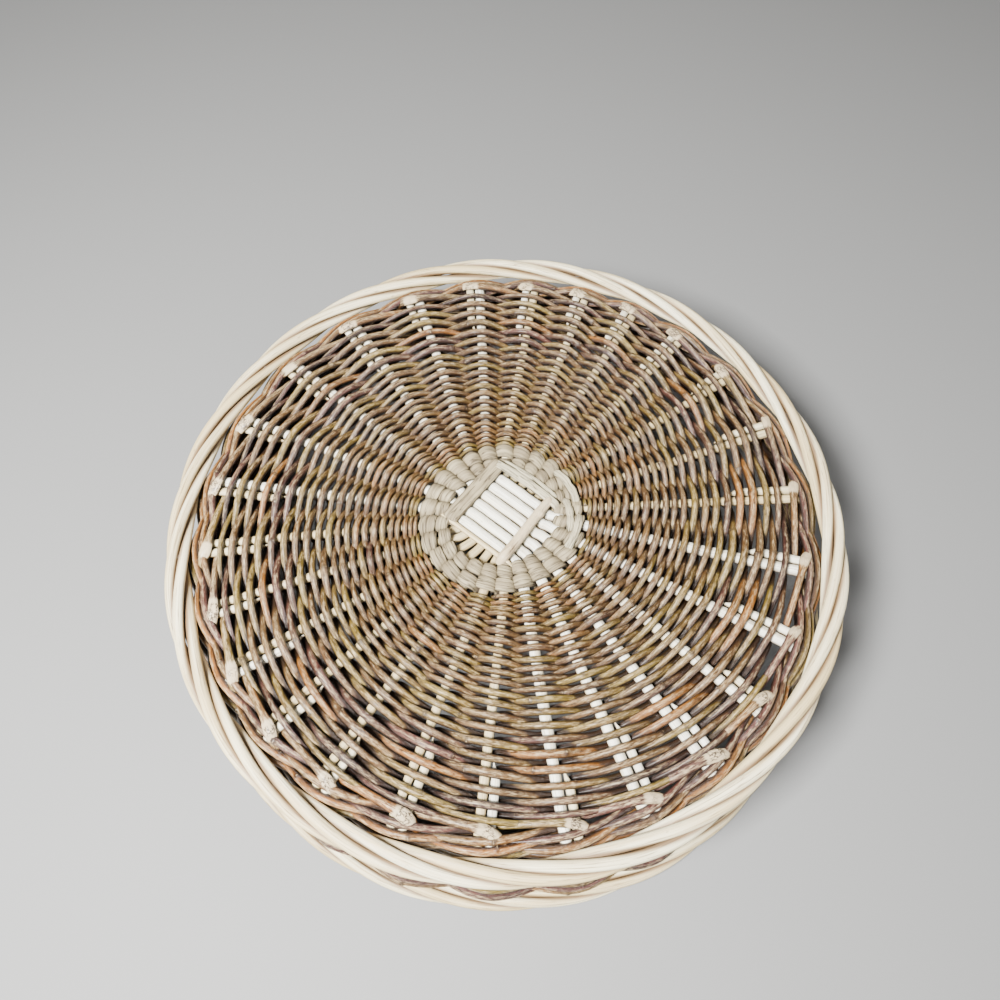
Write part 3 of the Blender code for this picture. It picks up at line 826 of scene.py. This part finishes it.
def makeSticks():
    dice = random.Random(11)
    turn = radians(sticks["turn"])
    for layer, first, lengthwise, rise, full in (
            ("under", 0, turn - pi / 2, -sticks["underDrop"], sticks["underFull"]),
            ("over", sticks["under"], turn, sticks["overRise"], 1.0)):
        count = sticks[layer]
        last = first + spokeCount // 2 + count - 1  # the spoke at the other end of the first stick
        for row in range(count):
            offset = (row - (count - 1) / 2) * sticks[layer + "Pitch"]
            path = stickHalf(first + row, lengthwise, offset, rise)[::-1]
            path += stickHalf(last - row, lengthwise + pi, -offset, rise)
            path = spacedOut(roundCorners(path), 0.0018)
            if layer == "over":
                for point in path:
                    reach = point[0] * cos(turn) + point[1] * sin(turn)
                    for way, deep, start, fall, end, climb in sticks["dips"]:
                        point[2] -= deep * smooth((way * reach - start) / fall) * (
                            1 - smooth((way * reach - end) / climb))
            wobble = waves(dice, 5, sticks["wobble"])
            places = np.linspace(0, 2 * pi, len(path))
            path[:, 2] += [wobble(place * 9) for place in places]
            grow = 1 + sticks["uneven"] * np.array(
                [sin(place * 5 + dice.random()) for place in places])
            sideways = np.cross(path[-1] - path[0], (0, 0, 1))
            rods = Rods()
            rods.add(path, sideways, sticks[layer + "Width"] / 2 * grow * full, sides=14,
                     tone=dice.uniform(*sticks[layer + "Tones"]), start=dice.uniform(0, 3))
            rods.finish(f"{layer}basestick{row + 1}Rod", peeled, f"{layer}_base_stick_{row + 1}")


def makeStakes():
    dice = random.Random(23)
    half = stakes["width"] / 2
    for index in range(spokeCount):
        outward, side = polar(1.0, spokeAzimuth(index)), spokeSide(index)
        aside = side * stakeShift(index)
        path = [spokeAt(index, radius) + aside + upward(sticks["height"])
                for radius in np.arange(tipRadius(index), stakes["bendStart"] - 0.001, 0.0022)]
        shift = spokeAt(index, stakes["bendStart"]) + aside - outward * stakes["bendStart"]
        for distance in np.arange(0.0, wallLength[-1], 0.003):
            radius, height = wallSpot(distance)
            path.append(outward * radius + shift + upward(height))
        path = np.array(path)
        along = lengths(path)
        # the long cut at the tip leaves the side against the spoke
        cut = np.clip(along / stakes["tipLength"], stakes["cut"], 1.0)
        path = path - side[None, :] * ((1 - cut) * stakes["width"] * stakes["cutAside"])[:, None]
        rods = Rods()
        rods.add(path, -side, half * cut, half * (1 - stakes["cutFlat"] * (1 - cut)), sides=12,
                 tone=dice.random() * 0.5, bare=np.clip(1 - along / 0.012, 0, 0.2),
                 start=dice.uniform(0, 3))
        rods.finish(f"sideStake{index + 1:02d}Rod", peeled, f"side_stake_{index + 1:02d}")


makeSticks()
makeStakes()
print("sticks and stakes placed")


edge = {
    # each pair of strands by its distance from the start of the bend
    "rows": [("edgeRow1Rods", (0.0064, 0.0112), ("edge_row_1", "inner_corner_row")),
             ("edgeRow2Rods", (0.016,), ("edge_row_2",))],
    "rowWidth": 0.0046, "rowSlant": 0.0034, "wobble": 0.0003, "rodLength": (0.5, 1.1),
    "tones": [0.12, 0.2, 0.34, 0.46, 0.62, 0.74, 0.86, 0.9, 0.96],
}
kink = {
    "width": 0.0046, "unlike": (0.94, 1.12), "start": 0.972, "bend": 0.987, "shift": 0.006,
    # the shaved knee: its half length, how much wider and flatter it is, how bare
    "knee": (0.0056, 0.008), "wider": (0.25, 0.55), "flatter": (0.3, 0.44), "bare": (0.7, 1.5),
    "ribs": (3, 5, 8), "ribDepth": (0.03, 0.07), "ribRate": (150, 420),
}


def makeKinkedRods():
    dice = random.Random(31)
    rods = Rods()
    for index in range(spokeCount):
        width = kink["width"] * dice.uniform(*kink["unlike"])
        bend = kink["bend"] + dice.uniform(-kink["shift"], kink["shift"])
        before, here = (basePost(post, weave["baseRadius"] * share)
                        for post, share in ((index - 1, kink["start"]), (index, bend)))
        top, half = here[4] + width * 0.5, here[3]
        gap = norm(here[0] - before[0])
        toward = (here[0] - before[0]) / gap

        def spot(post, ahead, high, out=0.0):
            return post[0] + toward * ahead + here[2] * out + upward(high)

        # from behind the post before over this one, then down outside its stake
        points = [spot(before, before[3] * 0.3, -0.0045), spot(before, before[3] + 0.004, -0.0012),
                  spot(before, gap * 0.55, top * 0.62), spot(here, half * -0.9, top),
                  spot(here, half * 0.45, top, 0.0004),
                  spot(here, half + width * 0.45, top * 0.42, 0.0019),
                  spot(here, half + width * 1.05, -0.003, 0.0032),
                  spot(here, half + width * 1.25, -0.0085, 0.0038)]
        path = spacedOut(roundCorners(points, 6), 0.0009)
        along = lengths(path)
        knee = along[int(np.argmin(norm(path - points[4], axis=1)))] + 0.0005
        near = np.exp(-np.abs((along - knee) / dice.uniform(*kink["knee"])) ** 2.2)
        ribs = [(many, dice.uniform(*kink["ribDepth"]), dice.uniform(0, 2 * pi),
                 dice.uniform(*kink["ribRate"])) for many in kink["ribs"]]
        rods.add(path, here[2], width / 2 * (1 + dice.uniform(*kink["wider"]) * near),
                 width / 2 * (1 - dice.uniform(*kink["flatter"]) * near), sides=18,
                 tone=dice.choice(edge["tones"]),
                 bare=np.clip(near * dice.uniform(*kink["bare"]) - 0.1, 0, 1),
                 start=dice.uniform(0, 3),
                 pleats=lambda run, turn: 1 + near[:, None] * ribbed(ribs, run, turn, 1))
    rods.finish("kinkedRods", bark, "kinked_edge_row")


def makeEdgeRows():
    dice = random.Random(37)
    for name, places, nodes in edge["rows"]:
        rods = Rods()
        for place in places:
            wobble = waves(dice, 6, edge["wobble"])
            for strand in (0, 1):
                line = twinePath(
                    edgePost, lambda spot: place + wobble(spot * 0.7),
                    lambda spot: edge["rowWidth"], strand, lambda spot: -edge["rowSlant"],
                    0, spokeCount, press=0.72, pinch=0.3)
                layRods(rods, line, dice, edge["tones"], edge["rodLength"], 10)
        rods.finish(name, bark, *nodes)


# "lay" is the rods' distance from the rope's core, "tuck" the side on which their ends are hidden
wale = {"ring": 0.2073, "height": 0.092, "lay": 0.0046, "rod": 0.0061, "wobble": 0.0005,
        "tuck": 300.0}
border = {"ring": 0.219, "height": 0.0068, "lay": 0.0041, "rod": 0.0053, "wobble": 0.0002,
          "tuck": 330.0}
rope = {"turn": 3.6, "laysPerRound": 6.5, "samples": 468, "ripples": (3, 5, 7, 8, 11),
        "tones": (0.35, 1.0), "taper": 0.1, "tip": 0.55}


def makeRope(name, spec, seed, nodes):
    # two loops that each go twice round, laid as real rods whose ends are tucked inside the rope
    dice = random.Random(seed)
    rods = Rods()
    count = rope["samples"]
    for loop in (0, 1):
        ripple = [(dice.choice(rope["ripples"]), dice.uniform(0, 2 * pi), dice.uniform(0.3, 1.0))
                  for _ in range(5)]
        path, across, inside, core = [], [], [], []
        for step in range(count):
            azimuth = 4 * pi * step / count
            lay = rope["laysPerRound"] * (azimuth - radians(rope["turn"])) + loop * pi / 2
            drift = spec["wobble"] / 2 * sum(
                much * sin(rate * azimuth / 2 + phase) for rate, phase, much in ripple)
            path.append(polar(spec["ring"] - spec["lay"] * cos(lay) + drift, azimuth,
                              spec["height"] + spec["lay"] * sin(lay) + drift * 0.3))
            across.append(polar(1.0, azimuth))
            inside.append(cos(lay - radians(spec["tuck"])))
            core.append(polar(spec["ring"], azimuth, spec["height"]))
        path, across, core = np.array(path), np.array(across), np.array(core)
        tucks = [step for step in range(count)
                 if inside[step - 1] < inside[step] >= inside[(step + 1) % count]]
        cuts = sorted({tucks[(index * 3 + loop) % len(tucks)] for index in range(len(tucks) // 3)})
        for first, last in zip(cuts, cuts[1:] + [cuts[0] + count]):
            spots = np.arange(first - 2, last + 3) % count
            steps = np.arange(len(spots))
            ends = np.clip(np.minimum(steps, steps[::-1]) / 5, 0, 1)
            taper = 1 + rope["taper"] * (0.5 - np.linspace(0, 1, len(spots)))
            half = spec["rod"] / 2 * taper * (rope["tip"] + (1 - rope["tip"]) * ends)
            rods.add(path[spots], across[spots], half * 1.06, half * 0.97, sides=16,
                     tone=dice.uniform(*rope["tones"]), start=dice.uniform(0, 3), core=core[spots])
    rods.finish(name, peeled, *nodes)


makeKinkedRods()
makeEdgeRows()
makeRope("waleRods", wale, 41, ("wale_strand_1", "wale_strand_2"))
makeRope("rimBorderRods", border, 43, ("rim_border_strand_1", "rim_border_strand_2"))
print("edge, wale and rim laid")


wall = {
    "first": 0.02, "pitch": 0.0084, "width": 0.0054, "rodLength": (0.6, 1.2),
    # rounds where the thin rods under the wale end and where those above the rim begin and end
    "rounds": (0.6, 8.5, 9.2), "begin": 0.0184, "end": 0.088, "thin": 0.0034, "wobble": 0.0003,
}


def makeWallWeave():
    dice = random.Random(53)
    rods = Rods()
    wobble = waves(dice, 6, wall["wobble"])
    rounds = np.array((0.0, *wall["rounds"])) * spokeCount
    lowest = wall["first"] + wall["pitch"] * (wall["rounds"][1] - wall["rounds"][0])
    places = (wall["begin"], wall["first"], lowest, wall["end"])
    widths = (wall["thin"], wall["width"], wall["width"], wall["thin"])

    def widthAt(spot):
        return np.interp(spot, rounds, widths)

    for strand in (0, 1):
        push = shaky(dice, weave["push"])

        def rowAt(spot):
            return np.interp(spot, rounds, places) + wobble(spot * 0.9) + push(spot)

        line = twinePath(
            wallPost, rowAt, widthAt, strand,
            lambda spot: widthAt(spot) / wall["width"] * wall["pitch"] / 2, 0, rounds[-1])
        layRods(rods, line, dice, weave["outerTones"], wall["rodLength"])
    rods.finish("wallWeave", bark, "wall_weave")


makeWallWeave()
print("wall laid")


binding = {
    # radius, width, thickness and slant of each round
    "rounds": [(0.0366, 0.0088, 0.0027, 0.0026), (0.0457, 0.0096, 0.003, 0.003)],
    # loose leaf ends on the right: azimuth and radius of both ends, width
    "leaves": [(44, 0.0446, 6, 0.047, 0.0048), (16, 0.0396, -20, 0.0426, 0.0046),
               (0, 0.0474, -38, 0.0456, 0.005)],
    "wobble": 0.0006, "uneven": 0.1, "ribs": (6, 8, 11, 13), "ribDepth": (0.03, 0.07),
    "ribRate": (60, 190),
}
tie = {
    # each piece's place across its direction, both ends, rise over the sticks and half width
    "band": (0.0252, -0.0236, 0.0262, 0.0013, 0.0047),
    "leaves": [(0.0243, -0.0215, 0.0268, 0.0016, 0.0029),
               (0.0284, -0.0175, 0.0225, 0.0008, 0.0022)],
    "thick": (-0.0173, -0.024, 0.025, 0.0006, 0.0033),
    "thin": (-0.0247, -0.0222, 0.03, -0.001, 0.00165),
}


def slathPost(index, radius):
    # a spoke where the rush passes it, closer in than where it leaves the crossing
    middle = leavePoint(index)
    azimuth, half = atan2(middle[1], middle[0]), spokeHalf(index)
    place = polar(radius, azimuth, sticks["height"])
    return place, upward(1.0), polar(1.0, azimuth), half * 0.8, half


def rushPleats(dice):
    # leaves laid side by side: a flattened section with ribs that wander along the strand
    ribs = [(dice.choice(binding["ribs"]), dice.uniform(*binding["ribDepth"]),
             dice.uniform(0, 2 * pi), dice.uniform(*binding["ribRate"])) for _ in range(4)]
    return lambda along, turn: (np.cos(turn) ** 4 + np.sin(turn) ** 4) ** -0.11 * (
        1 + ribbed(ribs, along, turn, 0.9))


below = upward(0.01)  # the shade of a piece in the middle is measured from this far below it


def makeBinding():
    dice = random.Random(61)
    rods = Rods()
    samples = 16  # points from post to post
    for radius, wide, thick, slant in binding["rounds"]:
        for strand in (0, 1):
            wobble = waves(dice, 6, binding["wobble"])
            path, across, _, lifts, core = twinePath(
                slathPost, lambda spot: radius + wobble(spot * 0.8) + pulled(spot, radius),
                lambda spot: thick, strand, lambda spot: slant, 0, spokeCount,
                samples, plump=0.55, pinch=0)
            high = np.abs(lifts) / np.max(np.abs(lifts))
            bumps = [dice.uniform(-1, 1) for _ in range(spokeCount + 1)]
            bumps[-1] = bumps[0]
            uneven = 1 + binding["uneven"] * np.interp(
                np.arange(len(path)) / samples, np.arange(spokeCount + 1), bumps)
            rods.add(path, across, wide / 2 * (0.78 + 0.22 * high) * uneven,
                     thick / 2 * (0.75 + 0.25 * high), sides=36, tone=dice.random() * 0.8,
                     start=dice.uniform(0, 3), capped=False, pleats=rushPleats(dice),
                     core=core)
    for begin, nearRadius, end, farRadius, wide in binding["leaves"]:
        share = np.linspace(0, 1, 34)
        turns = np.radians(begin + (end - begin) * share)
        radii = nearRadius + (farRadius - nearRadius) * share
        ripple = np.abs(np.sin(turns * spokeCount / 2 + 1))
        high = sticks["height"] + 0.006 + 0.0008 * ripple - 0.0055 * np.abs(2 * share - 1) ** 5
        path = np.stack([radii * np.cos(turns), radii * np.sin(turns), high], axis=1)
        pointed = np.clip(np.minimum(share, 1 - share) * 9, 0.18, 1)
        ragged = 1 + 0.08 * np.sin(share * 23 + wide * 9000)
        rods.add(path, path * np.array([1.0, 1.0, 0.0]), wide / 2 * pointed * ragged, 0.0009,
                 sides=24, tone=0.96, start=dice.uniform(0, 3), pleats=rushPleats(dice),
                 core=path - below)
    rods.finish("slathBindingRush", rush, "slath_binding")


def makeTie():
    dice = random.Random(67)
    turn = radians(sticks["turn"])
    along, aside = polar(1.0, turn), polar(1.0, turn - pi / 2)
    top = sticks["height"] + sticks["overRise"] + sticks["overWidth"] / 2

    def bar(direction, crosswise, piece, deep=(0.004, 0.004)):
        # a straight piece across the sticks whose ends turn down beside them
        place, begin, end, rise, _ = piece
        points = [direction * reach + crosswise * place + upward(top + rise - low)
                  for reach, low in ((begin - 0.0025, deep[0]), (begin, 0),
                                     (end, 0), (end + 0.0025, deep[1]))]
        return spacedOut(roundCorners(points), 0.0011)

    rushRods, stickRods, barkRods = Rods(), Rods(), Rods()
    path = bar(aside, along, tie["band"])
    rushRods.add(path, along + upward(0.1), tie["band"][4], 0.0012, sides=40, tone=0.3,
                 pleats=rushPleats(dice), core=path - below)
    for leaf in tie["leaves"]:
        path = bar(along, aside, leaf)
        path += aside * (np.cos(np.linspace(-1, 1, len(path)) * pi / 2) * 0.0018)[:, None]
        rushRods.add(path, aside, leaf[4], 0.0011, sides=28, tone=0.97, pleats=rushPleats(dice),
                     core=path - below)
    path = bar(aside, along, tie["thick"])
    bend = np.linspace(-1, 1, len(path))
    path += along[None, :] * (0.0007 * np.sin(bend * 2.4))[:, None]
    barkRods.add(path, along, tie["thick"][4] * (1 - 0.1 * bend), sides=18, tone=0.5,
                 bare=0.78 - 0.3 * np.exp(-((bend + 0.62) / 0.3) ** 2), knots=dice,
                 core=path - below)
    path = bar(along, aside, tie["thin"], (0.002, 0.004))
    stickRods.add(path, aside, tie["thin"][4], sides=12, tone=1.0, bare=0.2, knots=dice,
                  core=path - below)
    rushRods.finish("slathTieRush", rush, "slath_tie")
    stickRods.finish("slathTieThinStick", peeled, "slath_tie")
    barkRods.finish("slathTieThickStick", bark, "slath_tie")


makeBinding()
makeTie()
print("binding and tie made")
